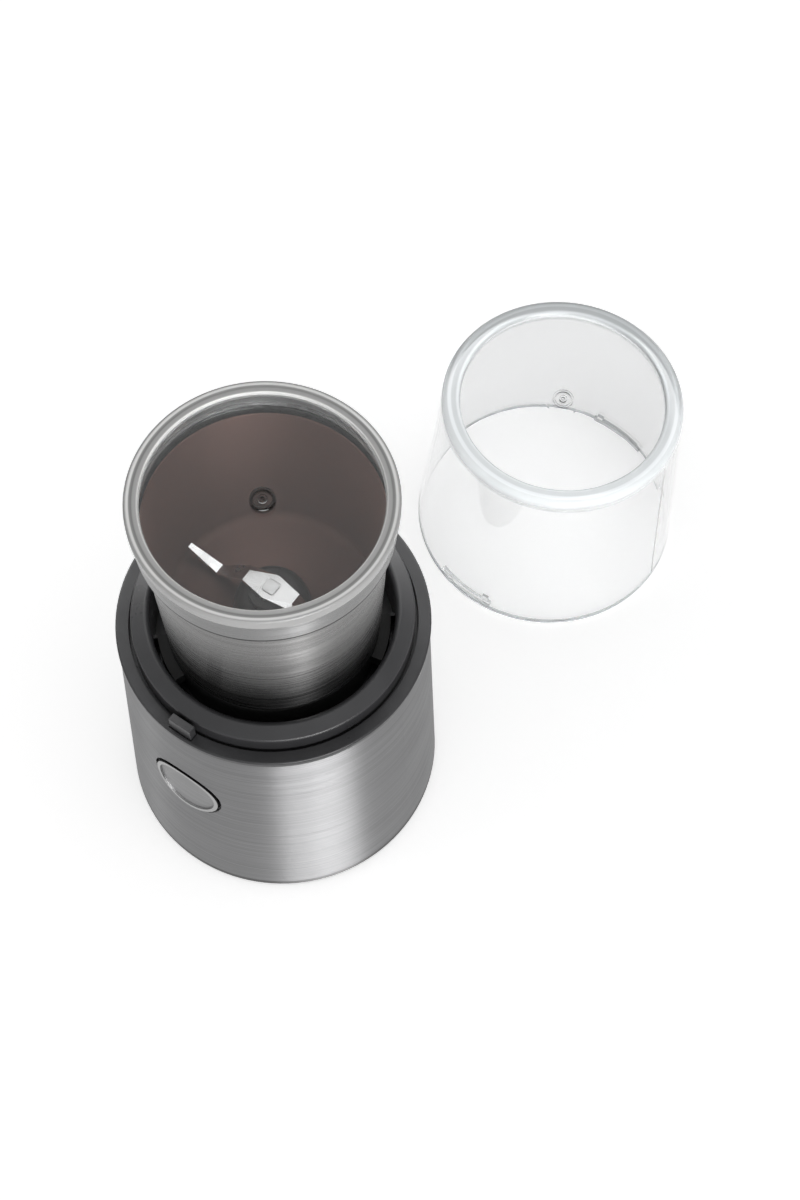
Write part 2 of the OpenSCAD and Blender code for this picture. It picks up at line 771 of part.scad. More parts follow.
// A bridge across the motor with two legs to the stack and a hub for a bearing
module motor_bracket(z, leg_z, leg_h, hub_z, arms) {
    difference() {
        union() {
            translate([-stator_w / 2, -bracket_w / 2, z]) cube([stator_w, bracket_w, bracket_t]);
            for (side = [-1, 1]) translate([side * motor_x + motor_x - stator_w / 2, -bracket_w / 2, leg_z])
                cube([stator_w - 2 * motor_x, bracket_w, leg_h]);
            if (arms) for (turn = [0, 180]) rotate([0, 0, turn])
                translate([-brush_w, bearing_hub_r - arm_lap, z])
                    cube([2 * brush_w, stator_depth / 2 + 2 * arm_lap - bearing_hub_r, bracket_t]);
            translate([0, 0, hub_z]) cylinder(h = bearing_h, r = bearing_hub_r);
        }
        translate([0, 0, hub_z - over]) cylinder(h = bearing_h + 2 * over, r = bearing_r + press_gap);
        for (side = [-1, 1]) translate([side * motor_x, 0, min(z, leg_z) - over])
            cylinder(h = leg_h + bracket_t + 2 * over, r = motor_screw_r + motor_screw_gap);
    }
}

// Upper motor bracket, hung from the well through the dampers
module upper_bracket() {
    color(steel) motor_bracket(bracket_z, stack_top_z, bracket_z - stack_top_z, bracket_z - bearing_drop,
                               false);
}

// Lower motor bracket, which also carries the brush holders
module lower_bracket() {
    color(steel) motor_bracket(lower_bracket_z, lower_bracket_z + bracket_t,
                               stack_z - lower_bracket_z - bracket_t, lower_bearing_z, true);
}

// Rubber sleeves between the upper bracket and the well's bosses
module motor_dampers() {
    color([0.1, 0.1, 0.1]) for (side = [-1, 1]) translate([side * motor_x, 0, damper_z]) difference() {
        cylinder(h = damper_t, r = damper_r);
        translate([0, 0, -over]) cylinder(h = damper_t + 2 * over, r = motor_screw_r + motor_screw_gap);
    }
}

// Two long screws through the brackets, the stack and the dampers
module motor_screws() {
    color(iron) for (side = [-1, 1]) translate([side * motor_x, 0, lower_bracket_z])
        screw(motor_head_r, motor_head_t, motor_screw_r, well_under_z - lower_bracket_z - screw_end_gap);
}

// A sintered bush for the motor's shaft
module motor_bearing(z) {
    color(copper) translate([0, 0, z]) difference() {
        cylinder(h = bearing_h, r = bearing_r);
        translate([0, 0, -over]) cylinder(h = bearing_h + 2 * over, r = motor_shaft_r + run_gap);
    }
}

module upper_bearing() { motor_bearing(bracket_z - bearing_drop); }

module lower_bearing() { motor_bearing(lower_bearing_z); }

// Lamination stack with its bore, two poles and the windows for the field coils
module stator_core() {
    corner = 6;
    color(iron) translate([0, 0, stack_z]) linear_extrude(stack_h) difference() {
        union() {
            square([stator_w, stator_depth - 2 * corner], center = true);
            square([stator_w - 2 * corner, stator_depth], center = true);
            for (x = [-1, 1]) for (y = [-1, 1])
            translate([x * (stator_w / 2 - corner), y * (stator_depth / 2 - corner)]) circle(r = corner);
        }
        circle(r = bore_r);
        intersection() {
            for (turn = [90, -90]) rotate([0, 0, turn])
                ring_sector(bore_r - pole_gap, coil_out_r + pole_gap, 90 - coil_inner_angle + 2);
            square([stator_w, 2 * window_y], center = true);
        }
        for (side = [-1, 1]) translate([side * motor_x, 0]) circle(r = motor_screw_r + motor_screw_gap);
    }
}

// Field coils: a saddle of wire round each pole
module stator_coils() {
    color(copper) for (turn = [0, 180]) rotate([0, 0, turn]) difference() {
        translate([0, 0, stack_z - end_turn_h + coil_end_gap])
            linear_extrude(stack_h + 2 * end_turn_h - 2 * coil_end_gap)
            intersection() {
                ring_sector(coil_in_r, coil_out_r, coil_outer_angle);
                square([stator_w, 2 * window_y - 2 * pole_gap], center = true);
            }
        translate([0, 0, stack_z - pole_gap]) linear_extrude(stack_h + 2 * pole_gap)
            ring_sector(bore_r / 2, coil_out_r + over, coil_inner_angle);
    }
}

// Brush boxes on the lower bracket's arms
module brush_holders() {
    color([0.75, 0.6, 0.3]) for (turn = [0, 180]) rotate([0, 0, turn]) difference() {
        translate([-brush_w / 2 - holder_t, commutator_r + holder_gap, lower_bracket_z + bracket_t])
            cube([brush_w + 2 * holder_t, holder_len,
                  brush_z + brush_w / 2 + holder_t - lower_bracket_z - bracket_t]);
        translate([-brush_w / 2 - seat_gap, commutator_r, brush_z - brush_w / 2 - seat_gap])
            cube([brush_w + 2 * seat_gap, holder_gap + holder_len - holder_t, brush_w + 2 * seat_gap]);
    }
}

// Carbon brushes, hollowed to the commutator
module carbon_brushes() {
    color([0.15, 0.15, 0.15]) for (turn = [0, 180]) rotate([0, 0, turn]) difference() {
        translate([-brush_w / 2, commutator_r - over / 2, brush_z - brush_w / 2])
            cube([brush_w, brush_len, brush_w]);
        translate([0, 0, brush_z - brush_w]) cylinder(h = 2 * brush_w, r = commutator_r + run_gap);
    }
}

// Steel face of the button: it follows the shell's cone, with a raised rim round a shallow dish
module push_button() {
    color(bright) difference() {
        intersection() {
            shell_cone(button_proud);
            front_rod(button_r, button_plate_y - over, shell_foot_r + over, button_z);
        }
        shell_cone(button_proud - button_skin);
        difference() {
            front_rod(button_r - button_rim_w, button_plate_y, shell_foot_r + over, button_z);
            shell_cone(button_proud - button_dish);
        }
    }
}

// Plastic plunger behind the button's face: plate, skirt and stem
module button_plunger() {
    color(black) {
        intersection() {
            shell_cone(button_proud - button_skin);
            front_rod(button_r, button_plate_y, shell_foot_r, button_z);
        }
        difference() {
            front_rod(button_r, button_plate_y - button_skirt_len, button_plate_y, button_z);
            front_rod(button_r - button_skirt_t, button_plate_y - button_skirt_len - over, button_plate_y,
                      button_z);
        }
        front_rod(stem_r, stem_y, button_plate_y, button_z);
    }
}

// Plunger that the lid's mouth pushes down: tongue, foot and the arm over its switch
module interlock_plunger() {
    color(black) {
        translate([-plunger_w / 2, -plunger_y - plunger_t, plunger_foot_z])
            cube([plunger_w, plunger_t, ridge_z - plunger_foot_z]);
        translate([-plunger_foot_w / 2, slide_gap - plunger_y - plunger_t, plunger_foot_z])
            cube([plunger_foot_w, plunger_y + plunger_t - slide_gap - plunger_foot_y, plunger_foot_t]);
        translate([0, -plunger_foot_y - plunger_arm_d, plunger_foot_z])
            cube([plunger_foot_w / 2 + plunger_arm_w, plunger_arm_d, plunger_foot_t]);
    }
}

// Steel shaft from the fan up to the drive coupling
module motor_shaft() {
    color(bright) translate([0, 0, fan_z - shaft_proud])
        cylinder(h = drive_top_z - shaft_sink - fan_z + shaft_proud, r = motor_shaft_r);
}

// Slotted lamination pack on the shaft
module armature_core() {
    color(iron) translate([0, 0, stack_z]) linear_extrude(stack_h) difference() {
        circle(r = armature_r);
        circle(r = motor_shaft_r + press_gap);
        ring(slot_count) translate([armature_r - slot_depth, -slot_w / 2])
            square([slot_depth + over, slot_w]);
    }
}

// Copper in the slots and the rounded end turns above and below
module armature_windings() {
    round_r = winding_end_h / 2;
    in_r = motor_shaft_r + winding_gap;
    out_r = armature_r - winding_gap;
    color(copper) {
        translate([0, 0, stack_z - nib_sink]) ring(slot_count)
            translate([armature_r - slot_depth + seat_gap, seat_gap - slot_w / 2, 0])
                cube([slot_depth - winding_gap, slot_w - 2 * seat_gap, stack_h + 2 * nib_sink]);
        for (z = [stack_z - winding_lift - round_r, stack_top_z + winding_lift + round_r])
            translate([0, 0, z]) rotate_extrude() {
                translate([in_r + round_r, -round_r]) square([out_r - in_r - 2 * round_r, 2 * round_r]);
                for (r = [in_r + round_r, out_r - round_r]) translate([r, 0]) circle(r = round_r);
            }
    }
}

// Copper bars round an insulating core, with a riser at the top
module commutator() {
    color(copper) translate([0, 0, commutator_z]) difference() {
        union() {
            cylinder(h = commutator_h, r = commutator_r);
            translate([0, 0, commutator_h - riser_h]) cylinder(h = riser_h, r = commutator_r + riser_t);
        }
        translate([0, 0, -over]) cylinder(h = commutator_h + 2 * over, r = motor_shaft_r + press_gap);
        ring(bar_count) translate([commutator_r - bar_t, -bar_gap / 2, -over])
            cube([bar_t + riser_t + over, bar_gap, commutator_h + 2 * over]);
    }
}

// Radial fan at the shaft's lower end
module cooling_fan() {
    color([0.2, 0.2, 0.22]) translate([0, 0, fan_z]) difference() {
        union() {
            cylinder(h = fan_h, r = fan_hub_r);
            translate([0, 0, fan_h - fan_disc_t]) cylinder(h = fan_disc_t, r = fan_d / 2);
            intersection() {
                ring(fan_blades) translate([fan_hub_r - fan_blade_t, 0, 0]) rotate([0, 0, fan_lean_angle])
                    translate([0, -fan_blade_t / 2, 0]) cube([fan_d / 2, fan_blade_t, fan_h]);
                cylinder(h = fan_h, r = fan_d / 2);
            }
        }
        translate([0, 0, -over]) cylinder(h = fan_h + 2 * over, r = motor_shaft_r + press_gap);
    }
}

// Outline of the coupling's teeth
module teeth(gap) {
    circle(r = tooth_root_r + gap);
    ring(tooth_count) translate([0, -tooth_w / 2 - gap]) square([tooth_r + gap, tooth_w + 2 * gap]);
}

// Toothed driver on the motor's shaft, with a slinger disc under its teeth
module drive_coupling() {
    color(black) difference() {
        union() {
            translate([0, 0, slinger_z]) cylinder(h = slinger_t, r = slinger_r);
            translate([0, 0, slinger_z]) linear_extrude(slinger_t + tooth_h) teeth(0);
        }
        translate([0, 0, slinger_z - over]) cylinder(h = drive_top_z, r = motor_shaft_r + press_gap);
    }
}

// Spun steel cup: tapered side, turned corner, and a stepped band that takes the cap
module grinding_cup() {
    corner_c = [cup_r(cup_floor_z) - cup_wall - cup_corner_r, cup_floor_z + cup_corner_r];
    color(steel) difference() {
        rotate_extrude() polygon(concat(
            [[cup_hole_r, cup_floor_z - cup_wall], [cup_foot_r - cup_wall, cup_floor_z - cup_wall],
             [cup_foot_r - cup_wall, cup_z], [cup_foot_r, cup_z], [cup_neck_r, band_z],
             [band_r - band_step, band_z], [band_r, band_z + band_step], [band_r, band_top_z],
             [band_r - cup_wall, band_top_z], [band_r - cup_wall, band_z + band_step + cup_wall],
             [cup_neck_r - cup_wall, band_z + cup_wall]],
            arc(corner_c, cup_corner_r, 0, -90), [[cup_hole_r, cup_floor_z]]));
        ring(cup_screw_count, 90) translate([cup_screw_circle_r, 0, cup_web_z])
            cylinder(h = cup_screw_len, r = cup_screw_hole_r);
    }
}

// Black base under the cup: foot wall, web, sleeve for the bush and three guide lugs
module cup_base() {
    color(black) difference() {
        union() {
            rotate_extrude() polygon(
                [[bush_r + press_gap, bush_z], [bush_sleeve_r, bush_z], [bush_sleeve_r, cup_web_z],
                 [cup_base_r - cup_base_wall, cup_web_z], [cup_base_r - cup_base_wall, well_z],
                 [cup_base_r, well_z], [cup_base_r, cup_z],
                 [cup_foot_r - cup_wall - seat_gap, cup_z],
                 [cup_foot_r - cup_wall - seat_gap, cup_web_z + cup_web_t],
                 [bush_r + press_gap, cup_web_z + cup_web_t]]);
            for (turn = lug_angles) rotate([0, 0, turn]) translate([0, 0, lug_z]) linear_extrude(lug_h)
                ring_sector(cup_base_r - cup_base_wall / 2, lug_r, lug_half_angle);
        }
        ring(cup_screw_count, 90) translate([cup_screw_circle_r, 0, cup_web_z - over])
            cylinder(h = cup_web_t + 2 * over, r = cup_screw_hole_r);
    }
}

// Rounded black hub inside the cup, round the bush
module cup_hub() {
    color(black) difference() {
        rotate_extrude() polygon(concat(
            [[bush_r + press_gap, hub_z]],
            [for (t = [0 : 7.5 : 90]) [hub_shoulder_r + (hub_r - hub_shoulder_r) * cos(t),
                                       hub_z + hub_h * sin(t)]],
            [[bush_r + press_gap, hub_z + hub_h]]));
        ring(cup_screw_count, 90) translate([cup_screw_circle_r, 0, hub_z - over])
            cylinder(h = cup_screw_len - cup_web_t - cup_wall + over, r = cup_screw_r + press_gap);
    }
}

// Screws from below, through the base and the cup's floor into the hub
module cup_screws() {
    color(iron) ring(cup_screw_count, 90) translate([cup_screw_circle_r, 0, cup_web_z])
        screw(cup_screw_head_r, screw_head_t, cup_screw_r, cup_screw_len - screw_end_gap);
}

// Long sintered bush for the blade's shaft
module cup_bushing() {
    color(copper) translate([0, 0, bush_z]) difference() {
        cylinder(h = bush_top_z - bush_z, r = bush_r);
        translate([0, 0, -over]) cylinder(h = bush_top_z - bush_z + 2 * over, r = blade_shaft_r + run_gap);
    }
}

// Rubber ring on top of the bush
module shaft_seal() {
    color([0.1, 0.1, 0.1]) translate([0, 0, bush_top_z]) difference() {
        cylinder(h = seal_t, r = seal_r);
        translate([0, 0, -over]) cylinder(h = seal_t + 2 * over, r = blade_shaft_r + run_gap);
    }
}

// Plan of the blade: widest at its middle, tapering to narrow tips
function blade_plan() = [
    [0, blade_mid_w / 2], [-blade_fold_r, fold_w / 2], [-blade_low_r, low_w / 2], [-blade_tip_r, tip_w / 2],
    [-blade_tip_r, -tip_w / 2], [-blade_low_r, -low_w / 2], [-blade_fold_r, -fold_w / 2],
    [0, -blade_mid_w / 2],
    [blade_fold_r, -fold_w / 2], [blade_low_r, -low_w / 2], [blade_tip_r, -tip_w / 2],
    [blade_tip_r, tip_w / 2], [blade_low_r, low_w / 2], [blade_fold_r, fold_w / 2]];

// Side view of the blade: flat middle, wings folded down, tips turned up
function blade_side() = concat(
    [for (p = blade_line()) p], [for (i = [5 : -1 : 0]) blade_line()[i] + [0, -blade_t]]);

function blade_line() = [
    [-blade_tip_r, blade_rise - blade_fall], [-blade_low_r, -blade_fall], [-blade_fold_r, 0],
    [blade_fold_r, 0], [blade_low_r, -blade_fall], [blade_tip_r, blade_rise - blade_fall]];

// Stamped blade with folded wings and a ground edge along each leading side
module grinder_blade() {
    color(bright) translate([0, 0, blade_z + blade_t]) difference() {
        intersection() {
            translate([0, blade_mid_w, 0]) rotate([90, 0, 0]) linear_extrude(2 * blade_mid_w)
                polygon(blade_side());
            translate([0, 0, -blade_fall - 2 * blade_t]) linear_extrude(2 * blade_fall + 2 * blade_t)
                polygon(blade_plan());
        }
        translate([0, 0, -blade_t - over]) linear_extrude(blade_t + 2 * over) shaft_square(seat_gap / 2);
        translate([0, 0, -rivet_groove]) linear_extrude(rivet_groove + over) shaft_square(rivet_groove);
        for (turn = [0, 180]) rotate([0, 0, turn]) blade_bevel();
    }
}

// Wedge that grinds the leading edge of one wing's flat part to a slope, wider towards the fold
module blade_bevel() {
    slope = atan((blade_mid_w - fold_w) / 2 / blade_fold_r);
    reach = blade_fold_r * bevel_len_share;
    translate([0, -blade_mid_w / 2, 0]) rotate([0, 0, slope])
        translate([blade_fold_r * bevel_start_share, 0, 0]) rotate([0, 0, atan(bevel_w / reach)])
        rotate([90, 0, 90]) linear_extrude(reach)
            polygon([[-bevel_w - over, over], [-bevel_w - over, -blade_t * bevel_depth_share],
                     [-bevel_w, -blade_t * bevel_depth_share], [0, 0], [0, over]]);
}

// Square end of the blade's shaft, with rounded corners
module shaft_square(gap) {
    side = square_w + 2 * gap;
    inner = side - 2 * square_round;
    square([side, inner], center = true);
    square([inner, side], center = true);
    for (x = [-1, 1]) for (y = [-1, 1]) translate([x * inner / 2, y * inner / 2]) circle(r = square_round);
}

// Shaft from the driven coupling up through the bush to the riveted square end
module blade_shaft() {
    color(bright) {
        translate([0, 0, driven_hub_z]) cylinder(h = blade_z - driven_hub_z, r = blade_shaft_r);
        translate([0, 0, blade_z - blade_t]) linear_extrude(2 * blade_t + square_proud) shaft_square(0);
    }
}

// Round spacer between the seal and the blade
module blade_spacer() {
    color([0.3, 0.3, 0.31]) translate([0, 0, spacer_z]) difference() {
        cylinder(h = blade_z - spacer_z, r = spacer_r);
        translate([0, 0, -over]) cylinder(h = blade_z - spacer_z + 2 * over, r = blade_shaft_r + press_gap);
    }
}

// Toothed socket on the shaft's lower end
module driven_coupling() {
    color(black) difference() {
        translate([0, 0, driven_z]) cylinder(h = driven_top_z - driven_z, r = driven_r);
        translate([0, 0, driven_z - over]) linear_extrude(driven_hub_z - driven_z + over) teeth(tooth_gap);
        translate([0, 0, driven_hub_z - over]) cylinder(h = driven_top_z, r = blade_shaft_r + press_gap);
    }
}

// A moulding mark: a low round cup with a wall and a floor
module gate_mark(z) {
    translate([0, 0, z]) difference() {
        cylinder(h = gate_h, r = gate_r);
        translate([0, 0, gate_h * gate_floor_share]) difference() {
            cylinder(h = gate_h, r = gate_r - gate_wall);
            translate([0, 0, -over]) cylinder(h = gate_h + 2 * over, r = gate_pin_r);
        }
        translate([0, 0, gate_h * gate_floor_share]) cylinder(h = gate_h, r = gate_dimple_r);
    }
}

// Clear cap: raised rim on the band, spigot inside it and a plate with the moulding mark
module cup_cap() {
    plate_under_z = cap_plate_z - cap_plate_t;
    color(clear) {
        rotate_extrude() polygon(concat(
            [[0, plate_under_z], [cap_spigot_r - cap_spigot_t, plate_under_z],
             [cap_spigot_r - cap_spigot_t, cap_z - cap_spigot_h], [cap_spigot_r, cap_z - cap_spigot_h],
             [cap_spigot_r, cap_z], [cap_r, cap_z]],
            arc([cap_r - cap_round, cap_top_z - cap_round], cap_round, 0, 90),
            arc([cap_rim_in_r + cap_round / 2, cap_top_z - cap_round / 2], cap_round / 2, 90, 180),
            [[cap_rim_in_r, cap_plate_z], [0, cap_plate_z]]));
        gate_mark(cap_plate_z - cap_plate_t / 4);
    }
}

// Section of the clear lid: drafted wall, rounded rim and a slightly domed top plate
function lid_section() =
    let (plate_r = lid_top_r - lid_rim_w, plate_z = lid_h - lid_plate_drop, steps = 6)
    concat(
        [[lid_foot_r - lid_wall, 0], [lid_foot_r, 0]],
        arc([lid_top_r - lid_round, lid_h - lid_round], lid_round, 4, 90),
        arc([plate_r + lid_round / 2, lid_h - lid_round / 2], lid_round / 2, 90, 180, 4),
        [for (i = [0 : steps]) let (t = i / steps) [plate_r * (1 - t), plate_z + lid_dome * t * (2 - t)]],
        [for (i = [steps : -1 : 0]) let (t = i / steps)
            [plate_r * (1 - t), plate_z - lid_plate_t + lid_dome * t * (2 - t)]],
        [[lid_top_r - lid_wall - lid_round, plate_z - lid_plate_t],
         [lid_top_r - lid_wall, plate_z - lid_plate_t - lid_round]]);

// Clear lid that stands mouth down beside the base, with two inner tabs and their stops
module lid() {
    axis = lid_reach * [cos(lid_bearing), sin(lid_bearing)];
    color(clear) translate([axis[0], axis[1], 0]) {
        rotate_extrude() polygon(lid_section());
        gate_mark(lid_h - lid_plate_drop + lid_dome - lid_plate_t / 4);
        for (turn = [0, 180]) rotate([0, 0, lid_tab_angle + turn]) {
            translate([0, 0, lid_tab_z]) linear_extrude(lid_tab_h) lid_tab(tab_spread_angle / 2, lid_tab_t);
            rotate([0, 0, tab_spread_angle / 2 - stop_spread_angle])
                translate([0, 0, lid_tab_z + lid_tab_h / 2]) linear_extrude(lid_stop_h)
                    lid_tab(stop_spread_angle / 2, lid_stop_t);
        }
    }
}

// Plan of one inner tab, let half into the lid's wall
module lid_tab(half_angle, depth) {
    wall_r = lid_foot_r - lid_wall;
    ring_sector(wall_r - depth, wall_r + lid_wall / 2, half_angle);
}

base_shell();
bottom_cover();
rubber_feet();
cover_screws();
collar();
button_guide();
switch_carrier();
carrier_screws();
button_switch();
interlock_switch();
button_spring();
interlock_spring();
cord_gland();
circuit_board();
upper_bracket();
lower_bracket();
motor_dampers();
motor_screws();
upper_bearing();
lower_bearing();
stator_core();
stator_coils();
brush_holders();
carbon_brushes();
push_button();
button_plunger();
interlock_plunger();
motor_shaft();
armature_core();
armature_windings();
commutator();
cooling_fan();
drive_coupling();
grinding_cup();
cup_base();
cup_hub();
cup_screws();
cup_bushing();
shaft_seal();
grinder_blade();
blade_shaft();
blade_spacer();
driven_coupling();
cup_cap();
lid();
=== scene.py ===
import math

import bpy
from mathutils import Matrix, Vector


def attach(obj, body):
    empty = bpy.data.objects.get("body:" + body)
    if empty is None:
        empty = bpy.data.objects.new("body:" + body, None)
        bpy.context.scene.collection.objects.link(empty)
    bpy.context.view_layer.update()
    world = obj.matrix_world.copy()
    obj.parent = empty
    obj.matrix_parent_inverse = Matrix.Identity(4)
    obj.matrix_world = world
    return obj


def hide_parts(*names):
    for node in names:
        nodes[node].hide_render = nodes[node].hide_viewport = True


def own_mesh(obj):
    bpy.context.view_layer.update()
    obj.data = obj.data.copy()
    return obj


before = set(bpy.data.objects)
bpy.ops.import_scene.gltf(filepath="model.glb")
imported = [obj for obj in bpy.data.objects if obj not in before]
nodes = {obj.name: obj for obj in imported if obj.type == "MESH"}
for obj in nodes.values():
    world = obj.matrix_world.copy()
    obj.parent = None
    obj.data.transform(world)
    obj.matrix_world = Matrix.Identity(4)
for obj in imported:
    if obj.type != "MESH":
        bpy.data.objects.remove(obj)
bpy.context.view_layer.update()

print("frame loaded:", len(nodes), "nodes")

# the camera looks down from high in front; turn is measured from -Y towards +X
cameraShape = {
    "place": (0.1928, -0.2213, 0.7105),
    "turn": 32.5,
    "tilt": 63.409,
    "roll": 2.228,
    "lens": 57.2,
    "sensorWidth": 36,
    "nearest": 0.01,
    "farthest": 20,
}


def makeCamera(shape):
    turn, tilt, roll = (math.radians(shape[k]) for k in ("turn", "tilt", "roll"))
    right = Vector((math.cos(turn), math.sin(turn), 0))
    level = Vector((-math.sin(turn), math.cos(turn), 0))
    forward = math.cos(tilt) * level - Vector((0, 0, math.sin(tilt)))
    up = right.cross(forward)
    sideways = math.cos(roll) * right + math.sin(roll) * up
    upright = -math.sin(roll) * right + math.cos(roll) * up
    data = bpy.data.cameras.new("camera")
    data.sensor_width = shape["sensorWidth"]
    data.lens = shape["lens"]
    data.clip_start = shape["nearest"]
    data.clip_end = shape["farthest"]
    camera = bpy.data.objects.new("camera", data)
    bpy.context.scene.collection.objects.link(camera)
    turned = Matrix((sideways, upright, -forward)).transposed().to_4x4()
    camera.matrix_world = Matrix.Translation(shape["place"]) @ turned
    bpy.context.scene.camera = camera


makeCamera(cameraShape)
bpy.context.scene.view_settings.view_transform = "Standard"
print("camera placed")


# one Math node; each value is a socket or a plain number
def worked(tree, operation, *values):
    node = tree.nodes.new("ShaderNodeMath")
    node.operation = operation
    for socket, value in zip(node.inputs, values):
        if isinstance(value, (int, float)):
            socket.default_value = value
        else:
            tree.links.new(value, socket)
    return node.outputs[0]


# 1 for the rays that should meet a white background and have met no matt surface yet
def backgroundFlag(tree):
    light = tree.nodes.new("ShaderNodeLightPath")
    seen = worked(tree, "MAXIMUM", light.outputs["Is Camera Ray"], light.outputs["Is Glossy Ray"])
    seen = worked(tree, "MAXIMUM", seen, light.outputs["Is Transmission Ray"])
    fresh = worked(tree, "LESS_THAN", light.outputs["Diffuse Depth"], 0.5)
    return worked(tree, "MULTIPLY", seen, fresh)


# white where it is seen, dimmer where it lights the object
worldLight = 0.42


def makeWorld(strength):
    world = bpy.data.worlds.new("studio")
    world.use_nodes = True
    bpy.context.scene.world = world
    tree = world.node_tree
    background = tree.nodes["Background"]
    background.inputs["Color"].default_value = (1, 1, 1, 1)
    level = tree.nodes.new("ShaderNodeMapRange")
    level.inputs["To Min"].default_value = strength
    level.inputs["To Max"].default_value = 1
    tree.links.new(backgroundFlag(tree), level.inputs["Value"])
    tree.links.new(level.outputs["Result"], background.inputs["Strength"])


makeWorld(worldLight)

# matt and pale, so that it takes the shadow; the glow lifts it to white
floorShape = {
    "size": 8,
    "height": -0.0003,
    "color": (0.95, 0.95, 0.95, 1),
    "glow": 0.56,
}


def makeFloor(shape):
    bpy.ops.object.select_all(action="DESELECT")
    bpy.ops.mesh.primitive_plane_add(size=shape["size"], location=(0, 0, shape["height"]))
    floor = bpy.context.active_object
    floor.name = "floor"
    bpy.ops.object.transform_apply(location=True, rotation=True, scale=True)
    paint = bpy.data.materials.new("floor")
    paint.use_nodes = True
    tree = paint.node_tree
    tree.nodes.clear()
    matt = tree.nodes.new("ShaderNodeBsdfDiffuse")
    matt.inputs["Color"].default_value = shape["color"]
    glow = tree.nodes.new("ShaderNodeEmission")
    amount = worked(tree, "MULTIPLY", backgroundFlag(tree), shape["glow"])
    tree.links.new(amount, glow.inputs["Strength"])
    both = tree.nodes.new("ShaderNodeAddShader")
    tree.links.new(matt.outputs[0], both.inputs[0])
    tree.links.new(glow.outputs[0], both.inputs[1])
    out = tree.nodes.new("ShaderNodeOutputMaterial")
    tree.links.new(both.outputs[0], out.inputs["Surface"])
    floor.data.materials.append(paint)


makeFloor(floorShape)

lamps = {
    "aim": (0.0, 0.06, 0.09),
    "distance": 1.6,
    # name: turn from the camera to the right, elevation, width, height, watts
    "all": {
        "topLamp": (40, 76, 1.3, 1.3, 3),
        "keyLamp": (21, 22, 1.1, 0.9, 29),
        "streakLamp": (25, 22, 0.44, 0.9, 5.5),
        "leftLamp": (-70, 24, 0.3, 1.0, 1),
        "collarLamp": (188, 38, 2.8, 1.2, 60),
        "cupLamp": (23, 12, 0.2, 0.7, 46),
    },
    # these leave the floor alone and light only their nodes
    "lit": {
        "keyLamp": list(nodes),
        "streakLamp": list(nodes),
        "collarLamp": ["collar", "interlock_plunger"],
        "cupLamp": ["grinding_cup"],
    },
}


def makeLamp(name, turn, elevation, width, height, watts):
    data = bpy.data.lights.new(name, "AREA")
    data.shape = "RECTANGLE"
    data.size = width
    data.size_y = height
    data.energy = watts
    lamp = bpy.data.objects.new(name, data)
    bpy.context.scene.collection.objects.link(lamp)
    if name in lamps["lit"]:
        lit = bpy.data.collections.new(name)
        for node in lamps["lit"][name]:
            lit.objects.link(nodes[node])
        lamp.light_linking.receiver_collection = lit
    around = math.radians(cameraShape["turn"] - 90 + turn)
    rise = math.radians(elevation)
    flat = Vector((math.cos(around), math.sin(around), 0))
    away = math.cos(rise) * flat + Vector((0, 0, math.sin(rise)))
    lamp.location = Vector(lamps["aim"]) + away * lamps["distance"]
    lamp.rotation_euler = (-away).to_track_quat("-Z", "Y").to_euler()


for name, shape in lamps["all"].items():
    makeLamp(name, *shape)
print("studio lit with", len(lamps["all"]), "lamps")

edges = {"steel": 0.0002, "machined": 0.00015, "moulded": 0.0003, "samples": 4}


# a kit holds a material and its parts; materials read Object coordinates, in metres
def startMaterial(name, color, roughness, metallic=0.0, edge=0.0):
    paint = bpy.data.materials.new(name)
    paint.use_nodes = True
    tree = paint.node_tree
    shader = tree.nodes["Principled BSDF"]
    shader.inputs["Base Color"].default_value = (*color, 1)
    shader.inputs["Roughness"].default_value = roughness
    shader.inputs["Metallic"].default_value = metallic
    place = tree.nodes.new("ShaderNodeTexCoord").outputs["Object"]
    kit = {"paint": paint, "tree": tree, "shader": shader, "place": place, "normal": None}
    if edge:
        bevel = tree.nodes.new("ShaderNodeBevel")
        bevel.samples = edges["samples"]
        bevel.inputs["Radius"].default_value = edge
        kit["normal"] = bevel.outputs["Normal"]
        tree.links.new(kit["normal"], shader.inputs["Normal"])
    return kit


def scaled(kit, scale, shift=(0, 0, 0)):
    mapping = kit["tree"].nodes.new("ShaderNodeMapping")
    mapping.inputs["Location"].default_value = shift
    mapping.inputs["Scale"].default_value = scale
    kit["tree"].links.new(kit["place"], mapping.inputs["Vector"])
    return mapping.outputs["Vector"]


# noise scaled alike every way, or stretched by its own scale for X, Y and Z
def noise(kit, scale, detail, rough=0.55):
    stretched = isinstance(scale, tuple)
    texture = kit["tree"].nodes.new("ShaderNodeTexNoise")
    texture.inputs["Scale"].default_value = 1 if stretched else scale
    texture.inputs["Detail"].default_value = detail
    texture.inputs["Roughness"].default_value = rough
    place = scaled(kit, scale if stretched else (1, 1, 1))
    kit["tree"].links.new(place, texture.inputs["Vector"])
    return texture.outputs["Fac"]


# from low to high while the value goes from fromLow to fromHigh, the middle of a noise
def ranged(kit, value, low, high, fromLow=0.3, fromHigh=0.7):
    node = kit["tree"].nodes.new("ShaderNodeMapRange")
    node.inputs["From Min"].default_value = fromLow
    node.inputs["From Max"].default_value = fromHigh
    for socket, end in (("To Min", low), ("To Max", high)):
        if isinstance(end, (int, float)):
            node.inputs[socket].default_value = end
        else:
            kit["tree"].links.new(end, node.inputs[socket])
    kit["tree"].links.new(value, node.inputs["Value"])
    return node.outputs["Result"]


